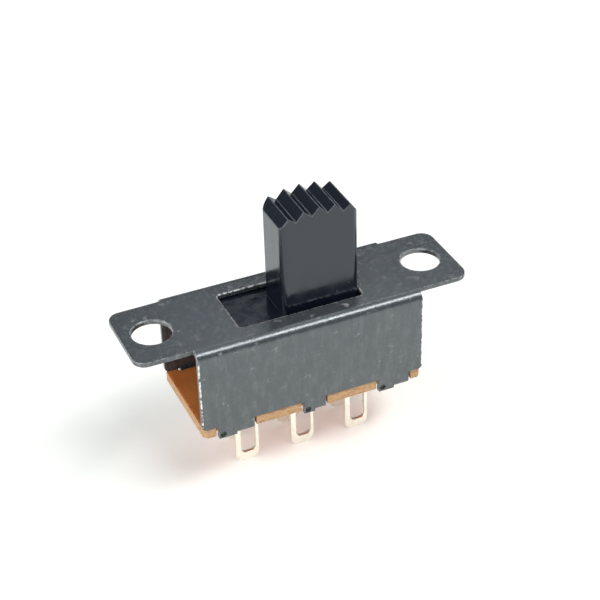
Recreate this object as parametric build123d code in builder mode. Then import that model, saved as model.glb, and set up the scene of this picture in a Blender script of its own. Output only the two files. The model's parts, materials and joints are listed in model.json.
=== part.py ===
"""Panel-mount slide switch, two poles and two positions, with six solder terminals.

A folded steel frame carries a phenolic terminal board. Six terminals stand in
the board, and a moulded slider, with its knob up through the frame's slot,
carries two spring-loaded bridging contacts along them.

Units are millimetres. X runs along the switch, Y across it and Z up. The origin
is on the mounting face, midway between the two mounting holes. The slider
is drawn at the +X end of its travel.
"""

import os

from build123d import *

# ---------------------------------------------------------------- frame sizes
plate_length = 34.9
body_length = 23.6
body_width = 11.1
wall_height = 9.0
sheet = 0.5
bend_radius = 1.0
ear_corner_radius = 1.3
wall_corner_radius = 0.45
hole_pitch = 28.6
hole_diameter = 3.96
rim_chamfer = 0.1
slot_length = 13.0
slot_width = 6.1
slot_corner_radius = 0.4

# ----------------------------------------------------------- tabs and their board
left_tab_offset = 8.3
left_tab_width = 3.7
middle_tab_width = 2.3
right_tab_offset = 8.65
right_tab_width = 3.3
tab_foot = 0.35
lip_reach = 0.45
stake_radius = 0.33
stake_depth = 0.3
stake_inset = 0.08
board_thickness = 1.1
board_end_inset = 0.12
board_edge_inset = 0.1
board_corner = 0.35
notch_clearance = 0.25
notch_depth = 0.35
relief_depth = 1.1

# ------------------------------------------------------------------ terminals
terminal_pitch = 6.05
row_spacing = 3.86
terminal_sheet = 0.4
lug_width = 2.5
lug_length = 6.95
lug_corner_radius = 0.95
neck_width = 1.9
neck_clearance = 0.05
pad_length = 2.0
eye_width = 1.6
eye_length = 3.5
eye_corner_radius = 0.55
eye_to_tip = 1.0
eye_offset = 0.12

# --------------------------------------------------------------------- slider
knob_length = 8.1
knob_width = 4.9
knob_height = 10.7
knob_corner_radius = 0.7
ridge_count = 5
ridge_depth = 0.8
crown_radius = 10.0
end_clearance = 0.1
side_clearance = 0.15
top_clearance = 0.1
flange_thickness = 1.6
flange_cover = 0.3
flange_chamfer_share = 0.7
ejector_mark_diameter = 1.1
ejector_mark_depth = 0.08
block_side_gap = 0.45
block_end_wall = 0.9
block_lift = 0.3

# ----------------------------------------------------------- moving contacts
contact_sheet = 0.25
contact_width = 2.0
contact_overhang = 1.5
contact_upturn = 0.8
contact_fit = 0.1
button_radius = 0.6
button_height = 0.45
button_gap = 0.08
spring_diameter = 1.8
spring_wire = 0.26
spring_turns = 5
spring_length = 2.6
spring_bore_clearance = 0.15

# ------------------------------------------------------------ derived places
ear_width = body_width - 2 * bend_radius
inner_width = body_width - 2 * sheet
wall_mid_y = (body_width - sheet) / 2
board_top = -wall_height
board_bottom = board_top - board_thickness
board_length = body_length - 2 * board_end_inset
board_width = body_width - 2 * board_edge_inset
tab_bottom = board_bottom - tab_foot
travel = slot_length - knob_length - 2 * end_clearance
slider_x = travel / 2
flange_top = -sheet - top_clearance
flange_bottom = flange_top - flange_thickness
flange_length = slot_length + travel + 2 * flange_cover
flange_width = inner_width - 2 * side_clearance
pad_top = board_top + terminal_sheet
pad_mid_y = (row_spacing + terminal_sheet) / 2 + pad_length / 2 - terminal_sheet
lug_tip = board_bottom - lug_length
contact_length = terminal_pitch + 2 * contact_overhang
contact_bottom = pad_top + button_gap + button_height
contact_top = contact_bottom + contact_sheet
block_bottom = pad_top + block_lift
pocket_top = contact_bottom + contact_upturn + contact_fit
spring_seat = contact_top + spring_length
block_length = contact_length + 2 * (contact_fit + block_end_wall)
block_width = inner_width - 2 * block_side_gap

tabs = [
    (-left_tab_offset, left_tab_width),
    (0.0, middle_tab_width),
    (right_tab_offset, right_tab_width),
]
sides = {"front": -1, "rear": 1}
columns = {"left": -1, "middle": 0, "right": 1}

os.makedirs("parts", exist_ok=True)


def save(part, name):
    """Label a finished piece and write its STEP file."""
    part.label = name
    export_step(part, f"parts/{name}.step")


# ---------------------------------------------------------------------- frame
with BuildPart() as frame:
    # The body: one sheet folded down along both long sides.
    with BuildSketch(Plane.YZ.offset(-body_length / 2)) as section:
        with Locations((0, -wall_height / 2)):
            Rectangle(body_width, wall_height)
        fillet(section.vertices().group_by(Axis.Y)[-1], bend_radius)
        with Locations((0, -sheet - wall_height / 2)):
            inner = RectangleRounded(inner_width, wall_height, bend_radius - sheet, mode=Mode.PRIVATE)
        add(inner, mode=Mode.SUBTRACT)
        with Locations((0, -wall_height)):
            Rectangle(inner_width, wall_height, mode=Mode.SUBTRACT)
    extrude(amount=body_length)
    wall_ends = frame.edges().filter_by(Axis.Y).group_by(Axis.Z)[0]
    fillet(wall_ends, wall_corner_radius)

    # The ears: the flat top carried on past both ends of the walls.
    with BuildSketch(Plane.XY):
        RectangleRounded(plate_length, ear_width, ear_corner_radius)
    extrude(amount=-sheet)

    # Tabs go down from both walls, through the board's notches. Half of each
    # tab is straight, and the other half is clinched in under the board.
    for tab_x, tab_width in tabs:
        straight_x = tab_x - tab_width / 4
        with BuildSketch(Plane.XY.offset(tab_bottom)):
            with Locations((straight_x, -wall_mid_y), (straight_x, wall_mid_y)):
                Rectangle(tab_width / 2, sheet)
        extrude(amount=-wall_height - tab_bottom)
        for side in (-1, 1):
            outer_y = side * body_width / 2
            inner_y = side * inner_width / 2
            lip_y = inner_y - side * lip_reach
            with BuildSketch(Plane.YZ.offset(tab_x)):
                with BuildLine():
                    fold = JernArc((outer_y, tab_bottom + sheet), (0, -1), sheet, -90 * side)
                    Polyline(
                        fold @ 1,
                        (lip_y, tab_bottom),
                        (lip_y, board_bottom),
                        (inner_y, board_bottom),
                        (inner_y, -wall_height),
                        (outer_y, -wall_height),
                        fold @ 0,
                    )
                make_face()
            extrude(amount=tab_width / 2)

    # A punch mark on the outside of the other half spreads it in its notch.
    for tab_x, tab_width in tabs:
        mark_x = tab_x - tab_width / 2 + stake_inset + stake_radius
        mark_z = tab_bottom + stake_inset + stake_radius
        for side in (-1, 1):
            wall_face = Plane.XZ.offset(-side * body_width / 2)
            with BuildSketch(wall_face):
                with Locations((mark_x, mark_z)):
                    Circle(stake_radius)
            extrude(amount=side * stake_depth, mode=Mode.SUBTRACT)

    # The knob's slot and the two mounting holes.
    with BuildSketch(Plane.XY):
        RectangleRounded(slot_length, slot_width, slot_corner_radius)
        with GridLocations(hole_pitch, 0, 2, 1):
            Circle(hole_diameter / 2)
    extrude(amount=-sheet, mode=Mode.SUBTRACT)
    rims = frame.edges().filter_by(GeomType.CIRCLE).group_by(Axis.Z)[-1]
    chamfer(rims.filter_by(lambda rim: abs(rim.radius - hole_diameter / 2) < 1e-6), rim_chamfer)

save(frame.part, "frame")


# ------------------------------------------------------------- terminal board
with BuildPart() as terminal_board:
    with BuildSketch(Plane.XY.offset(board_bottom)) as outline:
        Rectangle(board_length, board_width)
        chamfer(outline.vertices(), board_corner)
        for tab_x, tab_width in tabs:
            notch_width = tab_width + 2 * notch_clearance
            notch_span = inner_width - 2 * notch_depth
            relief_span = notch_span - 2 * relief_depth
            relief_x = (notch_width - notch_clearance) / 2
            for side in (-1, 1):
                with Locations((tab_x, side * (board_width + notch_span) / 4)):
                    Rectangle(notch_width, (board_width - notch_span) / 2, mode=Mode.SUBTRACT)
            # The front notches also have a narrow relief slot at each end.
            relief_y = -(board_width + relief_span) / 4
            with Locations((tab_x - relief_x, relief_y), (tab_x + relief_x, relief_y)):
                Rectangle(notch_clearance, (board_width - relief_span) / 2, mode=Mode.SUBTRACT)
        with GridLocations(terminal_pitch, row_spacing, 3, 2):
            Rectangle(neck_width + 2 * neck_clearance, terminal_sheet + 2 * neck_clearance, mode=Mode.SUBTRACT)
    extrude(amount=board_thickness)

save(terminal_board.part, "terminal_board")


# ------------------------------------------------------------------ terminals
def make_terminal(x, side):
    """One stamped terminal: a lug with an eye, a neck and a contact pad turned outwards."""
    row_y = side * row_spacing / 2
    face = Plane.XZ.offset(-row_y - terminal_sheet / 2)
    with BuildPart() as terminal:
        with BuildSketch(face) as lug:
            with Locations((x, board_bottom - lug_length / 2)):
                Rectangle(lug_width, lug_length)
            fillet(lug.vertices().group_by(Axis.Y)[0], lug_corner_radius)
            with Locations((x + eye_offset, lug_tip + eye_to_tip + eye_length / 2)):
                RectangleRounded(eye_width, eye_length, eye_corner_radius, mode=Mode.SUBTRACT)
            with Locations((x, (board_bottom + pad_top) / 2)):
                Rectangle(neck_width, pad_top - board_bottom)
        extrude(amount=terminal_sheet)
        with BuildSketch(Plane.XY.offset(board_top)):
            with Locations((x, side * pad_mid_y)):
                Rectangle(neck_width, pad_length)
        extrude(amount=terminal_sheet)
        pad_tip = terminal.faces().sort_by(Axis.Y)[-1 if side > 0 else 0]
        fillet(pad_tip.edges().filter_by(Axis.Z), terminal_sheet)
        bend = terminal.edges().filter_by(Axis.X).group_by(Axis.Z)[-1].sort_by(Axis.Y)[0 if side > 0 else -1]
        fillet(bend, terminal_sheet * 0.9)
    return terminal.part


for side_name, side in sides.items():
    for column_name, column in columns.items():
        save(make_terminal(column * terminal_pitch, side), f"terminal_{side_name}_{column_name}")


# --------------------------------------------------------------------- slider
def crown(x):
    """Height of the arc through the ridge tops, at a distance from the knob's middle."""
    return knob_height - x * x / (2 * crown_radius)


ridge_pitch = knob_length / ridge_count
ridge_points = [(slider_x - knob_length / 2, flange_top)]
for step in range(2 * ridge_count + 1):
    offset = step * ridge_pitch / 2 - knob_length / 2
    drop = 0 if step % 2 else ridge_depth
    ridge_points.append((slider_x + offset, crown(offset) - drop))
ridge_points.append((slider_x + knob_length / 2, flange_top))

with BuildPart() as slider:
    # The knob, with gripping ridges across its crowned top.
    with BuildSketch(Plane.XY.offset(flange_top)):
        with Locations((slider_x, 0)):
            RectangleRounded(knob_length, knob_width, knob_corner_radius)
    extrude(amount=knob_height - flange_top)
    with BuildSketch(Plane.XZ.offset(-knob_width / 2)):
        with BuildLine():
            Polyline(*ridge_points, close=True)
        make_face()
    extrude(amount=knob_width, mode=Mode.INTERSECT)

    # The flange that runs under the frame's top, and the block below it.
    with BuildSketch(Plane.XY.offset(flange_bottom)):
        with Locations((slider_x, 0)):
            Rectangle(flange_length, flange_width)
    extrude(amount=flange_thickness)
    long_edges = slider.edges().filter_by(Axis.X).group_by(Axis.Y)
    top_edges = [group.sort_by(Axis.Z)[-1] for group in (long_edges[0], long_edges[-1])]
    chamfer(top_edges, (bend_radius - sheet) * flange_chamfer_share)
    with BuildSketch(Plane.XY.offset(block_bottom)):
        with Locations((slider_x, 0)):
            Rectangle(block_length, block_width)
    extrude(amount=flange_bottom - block_bottom)

    # A pocket for each moving contact, with a round bore above for its spring.
    with BuildSketch(Plane.XY.offset(block_bottom)):
        with Locations((slider_x, -pad_mid_y), (slider_x, pad_mid_y)):
            Rectangle(contact_length + 2 * contact_fit, contact_width + 2 * contact_fit)
    extrude(amount=pocket_top - block_bottom, mode=Mode.SUBTRACT)
    with BuildSketch(Plane.XY.offset(pocket_top)):
        with Locations((slider_x, -pad_mid_y), (slider_x, pad_mid_y)):
            Circle(spring_diameter / 2 + spring_bore_clearance)
    extrude(amount=spring_seat - pocket_top, mode=Mode.SUBTRACT)

    # Shallow round marks that the mould's ejector pins leave on the flange.
    mark_x = (knob_length + slot_length) / 4
    with BuildSketch(Plane.XY.offset(flange_top)):
        with Locations((slider_x - mark_x, knob_width / 4), (slider_x + mark_x, knob_width / 4)):
            Circle(ejector_mark_diameter / 2)
    extrude(amount=-ejector_mark_depth, mode=Mode.SUBTRACT)

save(slider.part, "slider")


# ------------------------------------------------- moving contacts and springs
def make_contact(side):
    """One bridging contact: a strip with upturned ends and two round buttons below."""
    with BuildPart() as contact:
        with BuildSketch(Plane.XY.offset(contact_bottom)):
            with Locations((slider_x, side * pad_mid_y)):
                Rectangle(contact_length, contact_width)
        extrude(amount=contact_upturn)
        with BuildSketch(Plane.XY.offset(contact_top)):
            with Locations((slider_x, side * pad_mid_y)):
                Rectangle(contact_length - 2 * contact_sheet, contact_width)
        extrude(amount=contact_upturn, mode=Mode.SUBTRACT)
        with BuildSketch(Plane.XY.offset(contact_bottom)):
            with Locations((slider_x, side * pad_mid_y)):
                with GridLocations(terminal_pitch, 0, 2, 1):
                    Circle(button_radius)
        extrude(amount=-button_height)
        fillet(contact.edges().group_by(Axis.Z)[0], button_height * 0.9)
    return contact.part


def make_spring(side):
    """One coil spring between a contact and the top of its bore."""
    coil_radius = (spring_diameter - spring_wire) / 2
    coil_height = spring_length - spring_wire
    with BuildPart() as spring:
        with BuildLine() as coil:
            Helix(
                coil_height / spring_turns,
                coil_height,
                coil_radius,
                center=(slider_x, side * pad_mid_y, contact_top + spring_wire / 2),
            )
        with BuildSketch(Plane(origin=coil.line @ 0, z_dir=coil.line % 0)):
            Circle(spring_wire / 2)
        sweep(is_frenet=True)
    return spring.part


for side_name, side in sides.items():
    save(make_contact(side), f"contact_{side_name}")
    save(make_spring(side), f"contact_spring_{side_name}")
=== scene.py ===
"""Finishes and stage for a panel-mount slide switch, built around its CAD model.

Lengths in the settings are millimetres, as on the part's drawing. Everything in
the scene is in metres, in the CAD frame: X along the switch, Y across it, Z up.
"""

import json
import math

import bmesh
import bpy
from bpy.props import FloatProperty, FloatVectorProperty, PointerProperty
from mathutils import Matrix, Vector, noise

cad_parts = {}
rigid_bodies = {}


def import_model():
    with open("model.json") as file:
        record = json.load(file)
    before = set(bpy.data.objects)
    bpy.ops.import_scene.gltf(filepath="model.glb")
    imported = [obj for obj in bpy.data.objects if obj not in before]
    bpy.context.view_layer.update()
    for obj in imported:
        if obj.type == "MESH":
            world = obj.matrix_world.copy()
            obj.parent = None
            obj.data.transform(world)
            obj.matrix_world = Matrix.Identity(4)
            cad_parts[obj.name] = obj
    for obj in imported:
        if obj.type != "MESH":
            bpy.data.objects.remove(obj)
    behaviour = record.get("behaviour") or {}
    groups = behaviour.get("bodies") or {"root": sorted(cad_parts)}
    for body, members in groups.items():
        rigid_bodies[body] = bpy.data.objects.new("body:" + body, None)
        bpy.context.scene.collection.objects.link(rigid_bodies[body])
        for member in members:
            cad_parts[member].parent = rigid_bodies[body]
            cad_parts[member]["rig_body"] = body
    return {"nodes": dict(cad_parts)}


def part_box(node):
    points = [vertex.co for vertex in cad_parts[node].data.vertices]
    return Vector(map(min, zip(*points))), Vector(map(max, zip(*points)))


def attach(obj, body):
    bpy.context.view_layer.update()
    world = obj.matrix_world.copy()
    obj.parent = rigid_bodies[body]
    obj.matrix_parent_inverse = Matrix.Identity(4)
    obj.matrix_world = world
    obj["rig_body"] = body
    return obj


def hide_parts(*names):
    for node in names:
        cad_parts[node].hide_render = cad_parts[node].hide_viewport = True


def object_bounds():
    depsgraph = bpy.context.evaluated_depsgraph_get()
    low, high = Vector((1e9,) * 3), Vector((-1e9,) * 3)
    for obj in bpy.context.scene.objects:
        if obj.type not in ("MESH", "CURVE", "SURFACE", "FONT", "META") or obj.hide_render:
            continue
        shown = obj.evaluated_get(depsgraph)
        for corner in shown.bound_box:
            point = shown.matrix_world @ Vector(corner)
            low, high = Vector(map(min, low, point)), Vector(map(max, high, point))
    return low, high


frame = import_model()
cad_low, cad_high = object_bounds()

bl_info = {
    "name": "Slide Switch Finishes",
    "version": (1, 0, 0),
    "blender": (4, 5, 0),
    "location": "View3D > Sidebar > Slide Switch",
    "description": "Finishes the pieces of a slide switch and sets up its stage",
    "category": "Object",
}

MM = 0.001
MERGE = 0.0005 * MM
COARSE_WANDER = 0.45 * MM
FINE_WANDER = 0.16 * MM
FLAT = math.radians(0.5)
CORNER = math.radians(32)
SMOOTH_BELOW = math.radians(50)
TOUCHING = 0.01 * MM
SHORT = 0.5 * MM
SHEET_ZONE = 1.1 * MM
SLOT_ZONE = (7.0 * MM, 3.9 * MM)
LAMP_DISTANCE = 0.5
ROOM_COLOUR = (0.78, 0.9, 1.0, 1.0)
CAMERA_PLACE = Vector((-50.594, -122.522, 89.844))
CAMERA_TURN = (55.661, 1.528, -23.909)
COLUMN_STEP = 220
ROW_STEP = 260
TERMINALS = [
    f"terminal_{row}_{column}"
    for row in ("front", "rear")
    for column in ("left", "middle", "right")
]


# ------------------------------------------------------------------ settings
def length(name, description, default, low=0.0, high=50.0):
    """A size in millimetres."""
    return FloatProperty(
        name=name, description=description, default=default, min=low, max=high, precision=3
    )


def share(name, description, default):
    """A value from 0 to 1."""
    return FloatProperty(
        name=name, description=description, default=default, min=0, max=1, subtype="FACTOR"
    )


def colour(name, description, default):
    """A linear colour."""
    return FloatVectorProperty(
        name=name, description=description, default=default, min=0, max=1, size=3, subtype="COLOR"
    )


def power(name, description, default):
    """A lamp's power in watts."""
    return FloatProperty(name=name, description=description, default=default, min=0, unit="POWER")


class SwitchFrameSettings(bpy.types.PropertyGroup):
    """The folded steel frame."""

    edge_break: length("Edge break", "Rounding left on the sheet's edges, in mm", 0.055)
    burr: length("Burr", "Width of the burred edges at the wall ends and round the slot, in mm", 0.13)
    oxide: colour("Oxide", "Main colour of the blackened sheet", (0.044, 0.0505, 0.0545))
    oxide_light: colour("Light oxide", "Thinner patches of the blackening", (0.058, 0.065, 0.07))
    smeared: colour("Smeared oxide", "Pale streaks in the walls' blackening", (0.112, 0.121, 0.127))
    sheared: colour("Sheared edge", "Steel where the sheet was cut", (0.2, 0.2, 0.2))
    bare: colour("Bare steel", "Steel where an edge has rubbed clean", (0.92, 0.89, 0.88))
    wear: share("Wear", "How much of each edge has rubbed clean", 0.6)
    edge_wear: share("Edge wear", "Strength of the wear on the plain edges", 0.35)
    burr_wear: FloatProperty(
        name="Burr wear", description="Strength of the wear on the burred edges", default=2.5, min=0
    )
    roughness: share("Roughness", "Roughness of the blackened sheet", 0.255)


class SwitchBoardSettings(bpy.types.PropertyGroup):
    """The phenolic terminal board."""

    edge_break: length("Edge break", "Rounding left on the board's edges, in mm", 0.04)
    ragged: length("Ragged edge", "How far the punched edges wander, in mm", 0.04)
    step: length("Edge step", "Spacing of the cuts that let the edges wander, in mm", 0.3, 0.1, 2)
    resin: colour("Resin", "Colour of the board's faces", (0.88, 0.29, 0.072))
    resin_dark: colour("Dark resin", "Darker streaks in the faces", (0.66, 0.18, 0.043))
    fibre: colour("Cut fibre", "Colour of the punched edges", (0.7, 0.44, 0.24))
    fibre_dark: colour("Dark fibre", "Darker layers in the punched edges", (0.42, 0.18, 0.065))


class SwitchTerminalSettings(bpy.types.PropertyGroup):
    """The six stamped terminals."""

    edge_break: length("Edge break", "Rounding left on the stamped edges, in mm", 0.05)
    silver: colour("Silver", "Colour of the plating", (0.95, 0.935, 0.85))
    tarnish: colour("Tarnish", "Colour of the duller patches", (0.86, 0.83, 0.73))
    brass: colour("Brass", "Brass where an edge has rubbed through", (0.78, 0.58, 0.28))
    roughness: share("Roughness", "Roughness of the plating", 0.3)


class SwitchSliderSettings(bpy.types.PropertyGroup):
    """The moulded slider with its knob."""

    edge_break: length("Edge break", "Rounding left on the moulded edges, in mm", 0.09)
    plastic: colour("Plastic", "Colour of the moulding", (0.0065, 0.0085, 0.0155))
    # This colour also fills the rubbed edges, partly as wear and partly as a painted highlight along the
    # knob's crests.
    scuff_and_edge_sheen: colour("Scuffed plastic", "Colour of the fine rubbed marks", (0.115, 0.126, 0.142))
    roughness: share("Roughness", "Roughness of the moulded faces", 0.17)


class SwitchContactSettings(bpy.types.PropertyGroup):
    """The two moving contacts and their springs."""

    edge_break: length("Edge break", "Rounding left on the strip's edges, in mm", 0.03)
    bronze: colour("Bronze", "Colour of the contact strip", (0.78, 0.47, 0.26))
    bronze_dark: colour("Dark bronze", "Colour of its dull patches", (0.42, 0.22, 0.11))
    spring: colour("Spring", "Colour of the spring wire", (0.52, 0.51, 0.5))
    spring_dark: colour("Dark spring", "Colour of the drawing marks in the wire", (0.25, 0.24, 0.24))


class SwitchStageSettings(bpy.types.PropertyGroup):
    """The floor, the lamps and the camera."""

    floor: colour("Floor", "Colour of the floor", (0.92, 0.93, 0.885))
    floor_reach: length("Floor reach", "Half the floor's side, in mm", 4000, 100, 20000)
    floor_glow: share("Floor glow", "Brightness added where the floor is seen", 0.22)
    room: share("Room", "Brightness of the room round the stage", 0.17)
    key_power: power("Key power", "Power of the bright lamp above the front", 1.6)
    rim_power: power("Rim power", "Power of the strip lamp above the back", 0.25)
    top_power: power("Top power", "Power of the wide lamp overhead", 0.3)
    side_power: power("Side power", "Power of the wide lamp at the left", 2.1)
    lens: FloatProperty(
        name="Lens", description="Focal length in mm on a 36 mm sensor", default=98.31, min=10
    )


# -------------------------------------------------------------- shader nodes
def place(tree, kind, inputs=None, **options):
    """Add a node, set its options, and set or join its inputs."""
    added = tree.nodes.new(kind)
    for option, value in options.items():
        setattr(added, option, value)
    for socket, value in (inputs or {}).items():
        if isinstance(value, bpy.types.NodeSocket):
            tree.links.new(value, added.inputs[socket])
        else:
            added.inputs[socket].default_value = value
    return added


def opaque(rgb):
    """A colour with full alpha, as shader sockets want it."""
    return (rgb[0], rgb[1], rgb[2], 1.0)


def math_node(tree, operation, first, second=0.0, clamp=False):
    """The result of one sum on two values."""
    added = place(tree, "ShaderNodeMath", {0: first, 1: second}, operation=operation, use_clamp=clamp)
    return added.outputs[0]


def scaled(tree, value, factor, clamp=False):
    """A value or mask times a factor, which may be another mask."""
    return math_node(tree, "MULTIPLY", value, factor, clamp)


def blend_colours(tree, factor, first, second):
    """The first colour turning into the second as the factor goes from 0 to 1."""
    mixed = place(tree, "ShaderNodeMix", {0: factor, 6: first, 7: second}, data_type="RGBA")
    return mixed.outputs[2]


def remap(tree, value, low, high, new_low=0.0, new_high=1.0):
    """A value moved smoothly from one range to another."""
    return place(
        tree,
        "ShaderNodeMapRange",
        {"Value": value, "From Min": low, "From Max": high, "To Min": new_low, "To Max": new_high},
        interpolation_type="SMOOTHSTEP",
    ).outputs[0]


def arrange(tree):
    """Set the nodes out in columns, each to the left of what it feeds."""
    column = {n.name: 0 for n in tree.nodes}
    for _ in tree.nodes:
        for link in tree.links:
            step = column[link.to_node.name] + 1
            column[link.from_node.name] = max(column[link.from_node.name], step)
    height = {}
    for n in tree.nodes:
        row = height.get(column[n.name], 0)
        n.location = (-COLUMN_STEP * column[n.name], -ROW_STEP * row)
        height[column[n.name]] = row + 1


def open_group(name, inputs, outputs):
    """A new node group with its sockets, its input node and its output node."""
    group = bpy.data.node_groups.new(name, "ShaderNodeTree")
    for label, kind, default in inputs:
        socket = group.interface.new_socket(name=label, in_out="INPUT", socket_type=kind)
        if default is not None:
            socket.default_value = default
    for label in outputs:
        group.interface.new_socket(name=label, in_out="OUTPUT", socket_type="NodeSocketFloat")
    return group, group.nodes.new("NodeGroupInput"), group.nodes.new("NodeGroupOutput")


def make_mottle():
    """Cloudy patches of a chosen size."""
    group, given, result = open_group(
        "mottle",
        [
            ("Vector", "NodeSocketVector", None),
            ("Size", "NodeSocketFloat", 1.0),
            ("Contrast", "NodeSocketFloat", 0.2),
        ],
        ["Mask"],
    )
    density = math_node(group, "DIVIDE", 1.0, given.outputs["Size"])
    cloud = place(
        group,
        "ShaderNodeTexNoise",
        {"Vector": given.outputs["Vector"], "Scale": density, "Detail": 4.0, "Roughness": 0.6},
    )
    low = math_node(group, "SUBTRACT", 0.5, given.outputs["Contrast"])
    high = math_node(group, "ADD", 0.5, given.outputs["Contrast"])
    group.links.new(remap(group, cloud.outputs[0], low, high), result.inputs["Mask"])
    arrange(group)
    return group


def make_worn_edges():
    """The parts of the marked edge faces that have rubbed clean."""
    group, given, result = open_group(
        "worn_edges",
        [
            ("Vector", "NodeSocketVector", None),
            ("Edge", "NodeSocketFloat", 0.0),
            ("Amount", "NodeSocketFloat", 0.5),
            ("Size", "NodeSocketFloat", 0.5),
        ],
        ["Mask"],
    )
    density = math_node(group, "DIVIDE", 1.0, given.outputs["Size"])
    cloud = place(
        group,
        "ShaderNodeTexNoise",
        {"Vector": given.outputs["Vector"], "Scale": density, "Detail": 5.0, "Roughness": 0.7},
    )
    start = math_node(group, "SUBTRACT", 0.72, scaled(group, given.outputs["Amount"], 0.45))
    end = math_node(group, "ADD", start, 0.1)
    patches = remap(group, cloud.outputs[0], start, end)
    rubbed = scaled(group, patches, given.outputs["Edge"], clamp=True)
    group.links.new(rubbed, result.inputs["Mask"])
    arrange(group)
    return group


def make_hairlines():
    """Thin broken scratches that run along X, turned by an angle about Y and Z."""
    group, given, result = open_group(
        "hairlines",
        [
            ("Vector", "NodeSocketVector", None),
            ("Turn", "NodeSocketVector", (0.0, 0.2, 0.1)),
            ("Length", "NodeSocketFloat", 6.0),
            ("Spacing", "NodeSocketFloat", 0.7),
            ("Width", "NodeSocketFloat", 0.012),
            ("Amount", "NodeSocketFloat", 0.4),
        ],
        ["Mask"],
    )
    turned = place(
        group,
        "ShaderNodeVectorRotate",
        {"Vector": given.outputs["Vector"], "Rotation": given.outputs["Turn"]},
        rotation_type="EULER_XYZ",
    )
    along = math_node(group, "DIVIDE", 1.0, given.outputs["Length"])
    across = math_node(group, "DIVIDE", 1.0, given.outputs["Spacing"])
    stretch = place(group, "ShaderNodeCombineXYZ", {"X": along, "Y": across, "Z": across})
    drawn_out = place(
        group,
        "ShaderNodeVectorMath",
        {0: turned.outputs[0], 1: stretch.outputs[0]},
        operation="MULTIPLY",
    )
    waver = {"Scale": 1.0, "Detail": 1.0, "Roughness": 0.4, "Distortion": 0.15}
    field = place(group, "ShaderNodeTexNoise", {"Vector": drawn_out.outputs[0], **waver})
    off_line = math_node(group, "ABSOLUTE", math_node(group, "SUBTRACT", field.outputs[0], 0.5))
    line = remap(group, off_line, 0.0, given.outputs["Width"], 1.0, 0.0)
    gaps = place(
        group,
        "ShaderNodeTexNoise",
        {"Vector": given.outputs["Vector"], "Scale": 0.9, "Detail": 2.0, "Roughness": 0.6},
    )
    start = math_node(group, "SUBTRACT", 0.8, scaled(group, given.outputs["Amount"], 0.5))
    kept = remap(group, gaps.outputs[0], start, math_node(group, "ADD", start, 0.08))
    group.links.new(scaled(group, line, kept), result.inputs["Mask"])
    arrange(group)
    return group


def make_specks():
    """Small scattered dots, such as dust or pits."""
    group, given, result = open_group(
        "specks",
        [
            ("Vector", "NodeSocketVector", None),
            ("Spacing", "NodeSocketFloat", 0.8),
            ("Radius", "NodeSocketFloat", 0.12),
            ("Amount", "NodeSocketFloat", 0.2),
        ],
        ["Mask"],
    )
    density = math_node(group, "DIVIDE", 1.0, given.outputs["Spacing"])
    cells = place(
        group,
        "ShaderNodeTexVoronoi",
        {"Vector": given.outputs["Vector"], "Scale": density, "Randomness": 1.0},
        feature="F1",
    )
    inner = scaled(group, given.outputs["Radius"], 0.4)
    dot = remap(group, cells.outputs["Distance"], inner, given.outputs["Radius"], 1.0, 0.0)
    pick = place(group, "ShaderNodeSeparateColor", {0: cells.outputs["Color"]}).outputs[0]
    chosen = math_node(group, "LESS_THAN", pick, given.outputs["Amount"])
    group.links.new(scaled(group, dot, chosen), result.inputs["Mask"])
    arrange(group)
    return group


EFFECTS = {
    "mottle": make_mottle,
    "worn_edges": make_worn_edges,
    "hairlines": make_hairlines,
    "specks": make_specks,
}


def effect(tree, name, inputs):
    """The mask of a shared effect, whose group is built the first time it is asked for."""
    group = bpy.data.node_groups.get(name) or EFFECTS[name]()
    return place(tree, "ShaderNodeGroup", inputs, node_tree=group).outputs["Mask"]


def mottled(tree, vector, size, contrast, scale=None):
    """Cloudy patches, stretched or squeezed along the axes if a scale is given."""
    if scale:
        stretch = place(tree, "ShaderNodeVectorMath", {0: vector, 1: scale}, operation="MULTIPLY")
        vector = stretch.outputs[0]
    return effect(tree, "mottle", {"Vector": vector, "Size": size, "Contrast": contrast})


def rubbed_edges(tree, vector, amount, size):
    """The rubbed patches along the edges that the piece marks as worn."""
    marks = {"Vector": vector, "Edge": marked(tree, "worn"), "Amount": amount, "Size": size}
    return effect(tree, "worn_edges", marks)


def scratched(tree, vector, turn, length, spacing, width, amount):
    """Hairline scratches of a length and spacing, in millimetres."""
    lines = {"Vector": vector, "Turn": turn, "Length": length, "Spacing": spacing}
    return effect(tree, "hairlines", {**lines, "Width": width, "Amount": amount})


def open_material(name):
    """A new material's tree, its surface shader and its position in millimetres."""
    material = bpy.data.materials.new(name)
    material.use_nodes = True
    tree = material.node_tree
    surface = tree.nodes["Principled BSDF"]
    place_in_piece = place(tree, "ShaderNodeTexCoord").outputs["Object"]
    to_mm = (1 / MM, 1 / MM, 1 / MM)
    in_mm = place(tree, "ShaderNodeMapping", {"Vector": place_in_piece, "Scale": to_mm})
    return material, tree, surface, in_mm.outputs[0]


def marked(tree, name):
    """The value of a face mark of the piece."""
    mark = place(tree, "ShaderNodeAttribute", attribute_name=name, attribute_type="GEOMETRY")
    return mark.outputs["Fac"]


def raise_surface(tree, surface, height, distance, strength):
    """Join a height, which is in millimetres at full value, to the shader's normal."""
    bump = place(
        tree, "ShaderNodeBump", {"Height": height, "Distance": distance * MM, "Strength": strength}
    )
    tree.links.new(bump.outputs[0], surface.inputs["Normal"])


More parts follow.
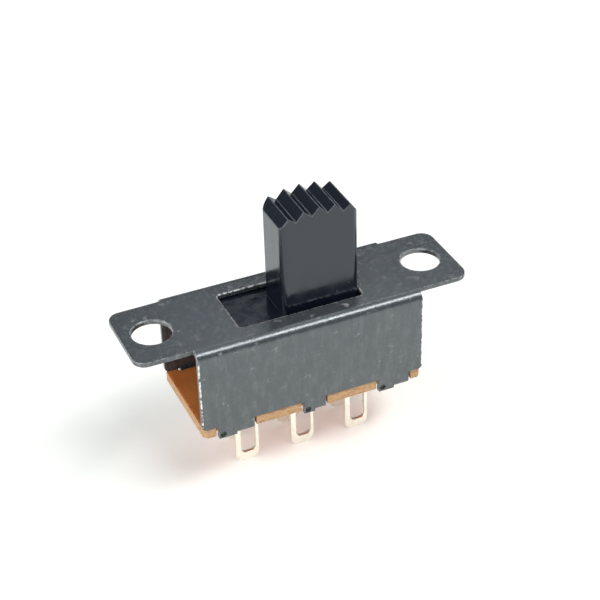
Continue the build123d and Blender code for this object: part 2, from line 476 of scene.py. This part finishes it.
def blackened_steel(settings):
    """Chemically blackened sheet, thin in places and rubbed bright along its edges."""
    material, tree, surface, at = open_material("blackened_steel")
    clouds = mottled(tree, at, 1.1, 0.25, (1.0, 1.0, 0.6))
    grain = mottled(tree, at, 0.16, 0.22)
    rubbed = rubbed_edges(tree, at, settings.wear, 0.5)
    cut = marked(tree, "cut")
    long_lines = scratched(tree, at, (0.0, 0.32, 0.25), 7.0, 0.9, 0.03, 0.42)
    short_lines = scratched(tree, at, (0.4, -0.75, -0.9), 3.0, 0.7, 0.026, 0.35)
    lines = math_node(tree, "MAXIMUM", long_lines, short_lines)
    dots = effect(tree, "specks", {"Vector": at, "Spacing": 1.1, "Radius": 0.06, "Amount": 0.15})
    drawn = mottled(tree, at, 0.55, 0.2, (1.0, 1.0, 0.22))
    patches = math_node(tree, "ADD", scaled(tree, clouds, 0.45), scaled(tree, grain, 0.25))
    patches = math_node(tree, "ADD", patches, scaled(tree, drawn, 0.3))
    skin = blend_colours(tree, patches, opaque(settings.oxide), opaque(settings.oxide_light))
    smeared = scaled(tree, scaled(tree, drawn, clouds), marked(tree, "wall"))
    skin = blend_colours(tree, smeared, skin, opaque(settings.smeared))
    skin = blend_colours(tree, scaled(tree, lines, 0.3), skin, opaque(settings.bare))
    skin = blend_colours(tree, scaled(tree, dots, 0.2), skin, opaque(settings.bare))
    streaks = mottled(tree, at, 0.2, 0.15, (1.0, 1.0, 0.15))
    shear = blend_colours(tree, streaks, opaque(settings.oxide_light), opaque(settings.sheared))
    skin = blend_colours(tree, scaled(tree, cut, 0.75), skin, shear)
    skin = blend_colours(tree, rubbed, skin, opaque(settings.bare))
    tree.links.new(skin, surface.inputs["Base Color"])
    metal = math_node(tree, "MAXIMUM", rubbed, scaled(tree, cut, 0.3))
    tree.links.new(metal, surface.inputs["Metallic"])
    rough = remap(tree, patches, 0.0, 1.0, settings.roughness - 0.04, settings.roughness + 0.05)
    rough = math_node(tree, "ADD", rough, scaled(tree, rubbed, 0.3), clamp=True)
    tree.links.new(rough, surface.inputs["Roughness"])
    surface.inputs["IOR"].default_value = 1.86
    surface.inputs["Specular Tint"].default_value = (0.9, 0.97, 1.0, 1.0)
    height = math_node(tree, "SUBTRACT", grain, scaled(tree, lines, 0.7))
    raise_surface(tree, surface, height, 0.012, 0.35)
    arrange(tree)
    return material


def phenolic(settings):
    """Paper-filled phenolic: glossy resin faces, dry layered fibre where it was punched."""
    material, tree, surface, at = open_material("phenolic")
    flow = mottled(tree, at, 2.2, 0.2, (0.5, 1.0, 1.0))
    fleck = mottled(tree, at, 0.18, 0.2, (0.35, 1.0, 1.0))
    layers = mottled(tree, at, 0.2, 0.14, (0.25, 0.25, 1.6))
    frays = mottled(tree, at, 0.22, 0.16)
    rubbed = rubbed_edges(tree, at, 0.75, 0.4)
    cut = marked(tree, "cut")
    dots = effect(tree, "specks", {"Vector": at, "Spacing": 0.9, "Radius": 0.09, "Amount": 0.18})
    faces = blend_colours(
        tree,
        math_node(tree, "ADD", scaled(tree, flow, 0.65), scaled(tree, fleck, 0.35)),
        opaque(settings.resin),
        opaque(settings.resin_dark),
    )
    faces = blend_colours(tree, scaled(tree, dots, 0.35), faces, opaque(settings.fibre))
    torn = scaled(tree, layers, frays)
    edges = blend_colours(tree, torn, opaque(settings.fibre), opaque(settings.fibre_dark))
    frayed = math_node(tree, "MAXIMUM", cut, rubbed)
    tree.links.new(blend_colours(tree, frayed, faces, edges), surface.inputs["Base Color"])
    tree.links.new(remap(tree, frayed, 0.0, 1.0, 0.3, 0.85), surface.inputs["Roughness"])
    fibres = scaled(tree, math_node(tree, "ADD", layers, frays), frayed)
    raise_surface(tree, surface, math_node(tree, "ADD", fibres, scaled(tree, fleck, 0.2)), 0.03, 0.6)
    arrange(tree)
    return material


def silver_plate(settings):
    """Silver plating on brass, a little dull, with brass showing at rubbed edges."""
    material, tree, surface, at = open_material("silver_plate")
    dull = mottled(tree, at, 0.9, 0.18)
    grain = mottled(tree, at, 0.1, 0.25, (1.0, 1.0, 0.3))
    rubbed = rubbed_edges(tree, at, 0.15, 0.35)
    lines = scratched(tree, at, (0.0, 1.35, 0.2), 2.5, 0.4, 0.016, 0.5)
    tarnish = opaque(settings.tarnish)
    plate = blend_colours(tree, scaled(tree, dull, 0.5), opaque(settings.silver), tarnish)
    plate = blend_colours(tree, scaled(tree, lines, 0.3), plate, tarnish)
    plate = blend_colours(tree, rubbed, plate, opaque(settings.brass))
    tree.links.new(plate, surface.inputs["Base Color"])
    surface.inputs["Metallic"].default_value = 1.0
    rough = remap(tree, dull, 0.0, 1.0, settings.roughness - 0.05, settings.roughness + 0.12)
    tree.links.new(rough, surface.inputs["Roughness"])
    raise_surface(tree, surface, math_node(tree, "SUBTRACT", grain, lines), 0.008, 0.3)
    arrange(tree)
    return material


def black_plastic(settings):
    """Glossy black moulding with faint flow marks, hairlines and dust, and rubbed edges painted lighter,
    partly as wear and partly as a painted highlight along the knob's crests.
    """
    material, tree, surface, at = open_material("black_plastic")
    flow = mottled(tree, at, 1.4, 0.2, (1.0, 1.0, 0.25))
    orange_peel = mottled(tree, at, 0.35, 0.3)
    lines = scratched(tree, at, (0.2, 1.3, 0.3), 4.0, 0.8, 0.01, 0.35)
    # Rubbed edges: partly real wear, partly a painted highlight that stands in for the light lines along
    # the knob's crests.
    rubbed = rubbed_edges(tree, at, 0.8, 0.5)
    dots = effect(tree, "specks", {"Vector": at, "Spacing": 1.3, "Radius": 0.07, "Amount": 0.2})
    marks = math_node(tree, "MAXIMUM", scaled(tree, lines, 0.2), scaled(tree, dots, 0.5))
    # The rubbed edges take the lighter colour too, so part of this lightening is a painted highlight.
    marks = math_node(tree, "MAXIMUM", marks, scaled(tree, rubbed, 0.6))
    skin = blend_colours(tree, marks, opaque(settings.plastic), opaque(settings.scuff_and_edge_sheen))
    tree.links.new(skin, surface.inputs["Base Color"])
    rough = remap(tree, flow, 0.0, 1.0, settings.roughness - 0.04, settings.roughness + 0.07)
    worn_rough = math_node(tree, "ADD", rough, scaled(tree, marks, 0.3), clamp=True)
    tree.links.new(worn_rough, surface.inputs["Roughness"])
    surface.inputs["IOR"].default_value = 1.68
    surface.inputs["Specular Tint"].default_value = (0.88, 0.95, 1.0, 1.0)
    height = math_node(tree, "SUBTRACT", scaled(tree, orange_peel, 0.35), lines)
    raise_surface(tree, surface, height, 0.01, 0.25)
    arrange(tree)
    return material


def worked_metal(name, main, dull_colour, turn, roughness):
    """Drawn or rolled metal with dull patches and marks along its length."""
    material, tree, surface, at = open_material(name)
    dull = mottled(tree, at, 0.6, 0.2)
    lines = scratched(tree, at, turn, 2.0, 0.15, 0.03, 0.7)
    rubbed = rubbed_edges(tree, at, 0.5, 0.3)
    shade = math_node(tree, "MAXIMUM", scaled(tree, dull, 0.55), scaled(tree, lines, 0.5))
    shade = math_node(tree, "SUBTRACT", shade, scaled(tree, rubbed, 0.5), clamp=True)
    metal = blend_colours(tree, shade, opaque(main), opaque(dull_colour))
    tree.links.new(metal, surface.inputs["Base Color"])
    surface.inputs["Metallic"].default_value = 1.0
    tree.links.new(remap(tree, shade, 0.0, 1.0, roughness, roughness + 0.2), surface.inputs["Roughness"])
    raise_surface(tree, surface, math_node(tree, "SUBTRACT", dull, lines), 0.006, 0.3)
    arrange(tree)
    return material


# -------------------------------------------------------------- mesh helpers
def whole_faces(node):
    """A bmesh of a CAD node, with its loose triangles joined into whole faces."""
    bm = bmesh.new()
    bm.from_mesh(frame["nodes"][node].data)
    for layer in list(bm.loops.layers.uv.values()):
        bm.loops.layers.uv.remove(layer)
    bmesh.ops.remove_doubles(bm, verts=bm.verts, dist=MERGE)
    bmesh.ops.dissolve_limit(
        bm, angle_limit=FLAT, verts=bm.verts, edges=bm.edges, use_dissolve_boundaries=False
    )
    bm.faces.layers.float.new("worn")
    bm.faces.layers.float.new("cut")
    return bm


def break_edges(bm, width, segments=2, chosen=None, wear=1.0, clamp=False):
    """Round the corners of a piece by a small radius, and mark the new faces as worn."""
    worn = bm.faces.layers.float["worn"]
    corners = [
        e
        for e in bm.edges
        if e.is_manifold
        and e.calc_face_angle() > CORNER
        and not any(f[worn] for f in e.link_faces)
        and (chosen is None or chosen(e))
    ]
    made = bmesh.ops.bevel(
        bm,
        geom=corners,
        offset=width * MM,
        offset_type="OFFSET",
        segments=segments,
        profile=0.5,
        affect="EDGES",
        clamp_overlap=clamp,
        loop_slide=True,
        material=-1,
    )
    for face in made["faces"]:
        face[worn] = wear


def finish_piece(bm, name, node, material):
    """Turn a bmesh into a piece that stands for its CAD node and moves with it."""
    mesh = bpy.data.meshes.new(name)
    bm.to_mesh(mesh)
    bm.free()
    if "custom_normal" in mesh.attributes:
        mesh.attributes.remove(mesh.attributes["custom_normal"])
    mesh.materials.clear()
    mesh.materials.append(material)
    mesh.shade_smooth()
    mesh.set_sharp_from_angle(angle=SMOOTH_BELOW)
    piece = bpy.data.objects.new(name, mesh)
    bpy.context.scene.collection.objects.link(piece)
    even = piece.modifiers.new("Even shading", "WEIGHTED_NORMAL")
    even.keep_sharp = True
    even.weight = 60
    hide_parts(node)
    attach(piece, frame["nodes"][node]["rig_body"])
    return piece


def by_slot(point):
    """Whether a point lies within the knob's slot or on its rim, seen from above."""
    return abs(point.x) < SLOT_ZONE[0] and abs(point.y) < SLOT_ZONE[1]


# ----------------------------------------------------------------- operators
class SWITCH_OT_frame_shell(bpy.types.Operator):
    """Finish the folded steel frame"""

    bl_idname = "switch.frame_shell"
    bl_label = "Steel frame"

    def execute(self, context):
        settings = context.scene.switch_frame
        bm = whole_faces("frame")
        low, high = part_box("frame")
        wall = bm.faces.layers.float.new("wall")
        cut = bm.faces.layers.float["cut"]
        for face in bm.faces:
            centre = face.calc_center_median()
            on_side = abs(face.normal.y) > 0.05 and abs(centre.y) > 0.8 * high.y
            on_top = abs(face.normal.z) > 0.9 and centre.z > -SHEET_ZONE
            if abs(face.normal.y) > 0.9:
                face[wall] = 1.0
            in_slot = by_slot(centre) and centre.z > -SHEET_ZONE
            if not in_slot and (abs(face.normal.x) > 0.05 or not (on_side or on_top)):
                face[cut] = 1.0
        wall_end = max(v.co.x for v in bm.verts if v.co.z < low.z / 2)
        foot = 0.4 * low.z

        def burred(edge):
            middle = (edge.verts[0].co + edge.verts[1].co) / 2
            at_end = abs(abs(middle.x) - wall_end) < TOUCHING
            outside = abs(abs(middle.y) - high.y) < TOUCHING
            return (at_end and outside) or (by_slot(middle) and abs(middle.z) < TOUCHING)

        def above_tabs(edge):
            return min(v.co.z for v in edge.verts) > foot

        break_edges(bm, settings.burr, chosen=burred, wear=settings.burr_wear)
        break_edges(bm, settings.edge_break, chosen=above_tabs, wear=settings.edge_wear)
        break_edges(bm, settings.edge_break, clamp=True)
        finish_piece(bm, "frame_shell", "frame", blackened_steel(settings))
        return {"FINISHED"}


class SWITCH_OT_board(bpy.types.Operator):
    """Finish the phenolic terminal board"""

    bl_idname = "switch.board"
    bl_label = "Terminal board"

    def execute(self, context):
        settings = context.scene.switch_board
        bm = whole_faces("terminal_board")
        low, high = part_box("terminal_board")
        break_edges(bm, settings.edge_break, segments=1)
        for turn, axis in enumerate((Vector((1, 0, 0)), Vector((0, 1, 0)), Vector((0, 0, 1)))):
            start, end = low[turn], high[turn]
            count = max(1, round((end - start) / (settings.step * MM)))
            for k in range(1, count):
                bmesh.ops.bisect_plane(
                    bm,
                    geom=[*bm.verts, *bm.edges, *bm.faces],
                    dist=MERGE,
                    plane_co=axis * (start + (end - start) * k / count),
                    plane_no=axis,
                )
        cut = bm.faces.layers.float["cut"]
        for face in bm.faces:
            if abs(face.normal.z) < 0.3:
                face[cut] = 1.0
        bm.normal_update()
        moves = []
        for vert in bm.verts:
            outward = sum((f.normal for f in vert.link_faces if f[cut] > 0.5), Vector())
            outward.z = 0
            if outward.length > 0.5:
                wander = noise.noise(vert.co / COARSE_WANDER) + 0.5 * noise.noise(vert.co / FINE_WANDER)
                inward = outward.normalized() * min(wander, 0.0)
                moves.append((vert, inward * settings.ragged * MM))
        for vert, move in moves:
            vert.co += move
        finish_piece(bm, "board", "terminal_board", phenolic(settings))
        return {"FINISHED"}


class SWITCH_OT_terminals(bpy.types.Operator):
    """Finish the six stamped terminals"""

    bl_idname = "switch.terminals"
    bl_label = "Terminals"

    def execute(self, context):
        settings = context.scene.switch_terminal
        plating = silver_plate(settings)
        for node in TERMINALS:
            bm = whole_faces(node)
            break_edges(bm, settings.edge_break)
            finish_piece(bm, f"plated_{node}", node, plating)
        return {"FINISHED"}


class SWITCH_OT_slider(bpy.types.Operator):
    """Finish the moulded slider and its knob"""

    bl_idname = "switch.slider"
    bl_label = "Slider"

    def execute(self, context):
        settings = context.scene.switch_slider
        bm = whole_faces("slider")

        def rubbed(edge):
            on_knob = min(v.co.z for v in edge.verts) > 0
            return on_knob or edge.calc_length() > SHORT

        # The new edge faces are marked worn, and the plastic paints them lighter: partly wear, partly a
        # painted highlight.
        break_edges(bm, settings.edge_break, chosen=rubbed)
        finish_piece(bm, "moulded_slider", "slider", black_plastic(settings))
        return {"FINISHED"}


class SWITCH_OT_contacts(bpy.types.Operator):
    """Finish the moving contacts and their springs"""

    bl_idname = "switch.contacts"
    bl_label = "Contacts and springs"

    def execute(self, context):
        settings = context.scene.switch_contact
        rolled = (0.0, 0.05, 0.03)
        drawn = (0.0, 0.1, 0.9)
        bronze = worked_metal("contact_bronze", settings.bronze, settings.bronze_dark, rolled, 0.3)
        wire = worked_metal("spring_steel", settings.spring, settings.spring_dark, drawn, 0.25)
        for row in ("front", "rear"):
            bm = whole_faces(f"contact_{row}")
            break_edges(bm, settings.edge_break)
            finish_piece(bm, f"bridge_{row}", f"contact_{row}", bronze)
            bm = whole_faces(f"contact_spring_{row}")
            finish_piece(bm, f"coil_{row}", f"contact_spring_{row}", wire)
        return {"FINISHED"}


def add_lamp(name, watts, width, height, direction):
    """A rectangular lamp that faces the origin from a direction."""
    lamp = bpy.data.lights.new(name, "AREA")
    lamp.shape = "RECTANGLE"
    lamp.energy = watts
    lamp.size = width
    lamp.size_y = height
    holder = bpy.data.objects.new(name, lamp)
    bpy.context.scene.collection.objects.link(holder)
    holder.location = Vector(direction).normalized() * LAMP_DISTANCE
    holder.rotation_euler = (-holder.location).to_track_quat("-Z", "Y").to_euler()


class SWITCH_OT_stage(bpy.types.Operator):
    """Set up the floor, the lamps, the room and the camera"""

    bl_idname = "switch.stage"
    bl_label = "Stage"

    def execute(self, context):
        settings = context.scene.switch_stage
        scene = context.scene
        scene.view_settings.view_transform = "Standard"

        bm = bmesh.new()
        reach = settings.floor_reach * MM
        bmesh.ops.create_grid(bm, x_segments=1, y_segments=1, size=reach)
        bmesh.ops.translate(bm, verts=bm.verts, vec=(0, 0, cad_low.z))
        mesh = bpy.data.meshes.new("floor")
        bm.to_mesh(mesh)
        bm.free()
        floor = bpy.data.objects.new("floor", mesh)
        scene.collection.objects.link(floor)

        material = bpy.data.materials.new("floor_paper")
        material.use_nodes = True
        tree = material.node_tree
        surface = tree.nodes["Principled BSDF"]
        surface.inputs["Base Color"].default_value = opaque(settings.floor)
        surface.inputs["Roughness"].default_value = 0.9
        surface.inputs["Specular IOR Level"].default_value = 0.0
        surface.inputs["Emission Color"].default_value = (1.0, 1.0, 1.0, 1.0)
        path = place(tree, "ShaderNodeLightPath")
        seen = math_node(tree, "MAXIMUM", path.outputs["Is Camera Ray"], path.outputs["Is Glossy Ray"])
        seen = math_node(tree, "MAXIMUM", seen, path.outputs["Is Transmission Ray"])
        glow = scaled(tree, seen, settings.floor_glow)
        tree.links.new(glow, surface.inputs["Emission Strength"])
        arrange(tree)
        mesh.materials.append(material)

        room = bpy.data.worlds.new("room")
        scene.world = room
        room.use_nodes = True
        backdrop = room.node_tree.nodes["Background"]
        backdrop.inputs["Color"].default_value = ROOM_COLOUR
        backdrop.inputs["Strength"].default_value = settings.room

        add_lamp("key_lamp", settings.key_power, 0.34, 0.1, (0.32, -0.42, 0.85))
        add_lamp("rim_lamp", settings.rim_power, 0.36, 0.04, (0.5, 0.52, 0.72))
        add_lamp("top_lamp", settings.top_power, 0.55, 0.3, (0.2, 0.06, 0.98))
        add_lamp("side_lamp", settings.side_power, 0.7, 0.5, (-0.85, -0.22, 0.42))

        lens = bpy.data.cameras.new("camera")
        lens.lens = settings.lens
        lens.sensor_width = 36
        lens.clip_start = 0.01
        camera = bpy.data.objects.new("camera", lens)
        scene.collection.objects.link(camera)
        camera.location = CAMERA_PLACE * MM
        camera.rotation_euler = [math.radians(angle) for angle in CAMERA_TURN]
        scene.camera = camera
        return {"FINISHED"}


SETTINGS = {
    "switch_frame": SwitchFrameSettings,
    "switch_board": SwitchBoardSettings,
    "switch_terminal": SwitchTerminalSettings,
    "switch_slider": SwitchSliderSettings,
    "switch_contact": SwitchContactSettings,
    "switch_stage": SwitchStageSettings,
}
STEPS = {
    "switch_frame": SWITCH_OT_frame_shell,
    "switch_board": SWITCH_OT_board,
    "switch_terminal": SWITCH_OT_terminals,
    "switch_slider": SWITCH_OT_slider,
    "switch_contact": SWITCH_OT_contacts,
    "switch_stage": SWITCH_OT_stage,
}


class SWITCH_PT_sidebar(bpy.types.Panel):
    """The switch's settings and the buttons that finish its pieces"""

    bl_idname = "SWITCH_PT_sidebar"
    bl_label = "Slide switch"
    bl_space_type = "VIEW_3D"
    bl_region_type = "UI"
    bl_category = "Slide Switch"

    def draw(self, context):
        for name, step in STEPS.items():
            box = self.layout.box()
            box.operator(step.bl_idname)
            settings = getattr(context.scene, name)
            for field in SETTINGS[name].__annotations__:
                box.prop(settings, field)


def register():
    """Register the settings, the operators and the panel."""
    for name, group in SETTINGS.items():
        bpy.utils.register_class(group)
        setattr(bpy.types.Scene, name, PointerProperty(type=group))
    for step in STEPS.values():
        bpy.utils.register_class(step)
    bpy.utils.register_class(SWITCH_PT_sidebar)


def unregister():
    """Take the panel, the operators and the settings away again."""
    bpy.utils.unregister_class(SWITCH_PT_sidebar)
    for step in STEPS.values():
        bpy.utils.unregister_class(step)
    for name, group in SETTINGS.items():
        delattr(bpy.types.Scene, name)
        bpy.utils.unregister_class(group)


def main():
    """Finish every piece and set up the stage."""
    register()
    for step in STEPS.values():
        call = getattr(bpy.ops.switch, step.bl_idname.split(".")[1])
        call()
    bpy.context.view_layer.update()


if __name__ == "__main__":
    main()
